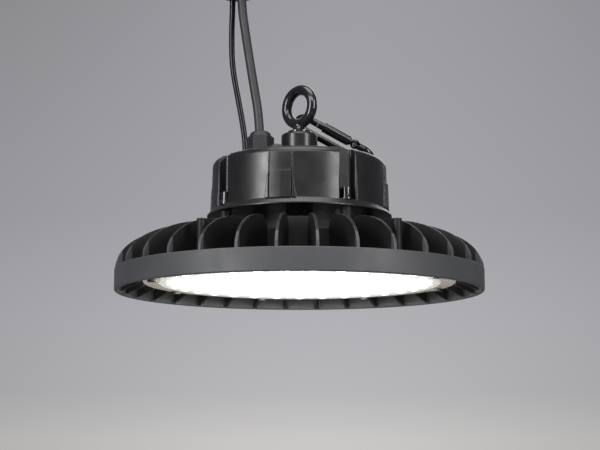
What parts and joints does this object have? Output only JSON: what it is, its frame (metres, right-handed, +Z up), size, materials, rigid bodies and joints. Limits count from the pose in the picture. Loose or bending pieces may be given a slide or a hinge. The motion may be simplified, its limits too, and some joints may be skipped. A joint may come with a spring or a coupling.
{
  "type": "high bay light",
  "caption": "Round LED high bay light: finned cast heat sink with a rim, lens underneath, driver housing on pillars, eye bolt with screw-lock snap hook, two cables.",
  "frame": {"origin": "centre of the rim's lower edge, on the lamp's axis", "axes": "+Z up along the lamp's axis towards the eye bolt; -Y is the front; +X is to the right seen from the front"},
  "size_m": [0.3, 0.3, 0.269],
  "materials": {
    "cast_housing": "black powder coat, satin",
    "cast_sink": "black powder coat, satin",
    "lens_clear": "clear prismatic polycarbonate, lit from behind",
    "silicone": "matt grey silicone",
    "black_rubber": "matt black rubber",
    "steel_zinc": "zinc plated",
    "pad_grey": "matt thermal pad",
    "board_white": "white solder mask on aluminium",
    "chip_phosphor": "phosphor over a white package, lit",
    "lead_grey": "grey sheath",
    "board_green": "green solder mask",
    "ferrite": "dark ferrite",
    "capacitor_can": "black sleeve",
    "terminal_green": "moulded",
    "eye_black": "gloss black plating",
    "hook_black": "gloss black plating",
    "gland_nylon": "black nylon",
    "cable_jacket": "satin black jacket",
    "rose_plastic": "satin"
  },
  "bodies": {
    "lamp": {"heat_sink": "cast_sink", "lens": "lens_clear", "lens_gasket": "silicone", "lens_screws": "steel_zinc", "thermal_pad": "pad_grey", "lamp_board": "board_white", "lamp_chips": "chip_phosphor", "lamp_board_screws": "steel_zinc", "lamp_lead": "lead_grey", "lead_grommet": "black_rubber", "hub_seal": "silicone", "driver_base": "cast_housing", "driver_base_gasket": "silicone", "driver_cover": "cast_housing", "driver_screws": "steel_zinc", "driver_washers": "steel_zinc", "driver_lock_washers": "steel_zinc", "driver_board": "board_green", "driver_board_screws": "steel_zinc", "transformer": "ferrite", "capacitors": "capacitor_can", "choke": "ferrite", "input_terminal": "terminal_green", "output_terminal": "terminal_green", "eye_bolt": "eye_black", "eye_bolt_seal": "black_rubber", "power_gland_body": "gland_nylon", "power_gland_seal": "black_rubber", "power_gland_nut": "gland_nylon", "power_gland_locknut": "gland_nylon", "dimming_gland_body": "gland_nylon", "dimming_gland_seal": "black_rubber", "dimming_gland_nut": "gland_nylon", "dimming_gland_locknut": "gland_nylon", "vent_plug": "gland_nylon", "power_cable": "cable_jacket", "dimming_cable": "cable_jacket", "ceiling_rose": "rose_plastic"},
    "hook": {"snap_hook_body": "hook_black", "snap_hook_pin": "steel_zinc"},
    "gate": {"snap_hook_gate": "hook_black"},
    "sleeve": {"snap_hook_sleeve": "hook_black"}
  },
  "joints": [
    {"name": "hook_swing", "type": "hinge", "parent": "lamp", "child": "hook", "pos_m": [-0.001, 0.0105, 0.161], "axis": [0.2873, -0.9578, 0], "range_deg": [0, 118]},
    {"name": "gate_open", "type": "hinge", "parent": "hook", "child": "gate", "pos_m": [0.04614, 0.002, 0.1247], "axis": [-0.4606, -0.35, -0.8157], "range_deg": [0, 16], "stiffness_Nm_per_rad": 0.06, "springref_deg": -20.05},
    {"name": "sleeve_travel", "type": "slide", "parent": "gate", "child": "sleeve", "axis": [-0.8707, -0.0004, 0.4918], "range_m": [0, 0.009]}
  ]
}
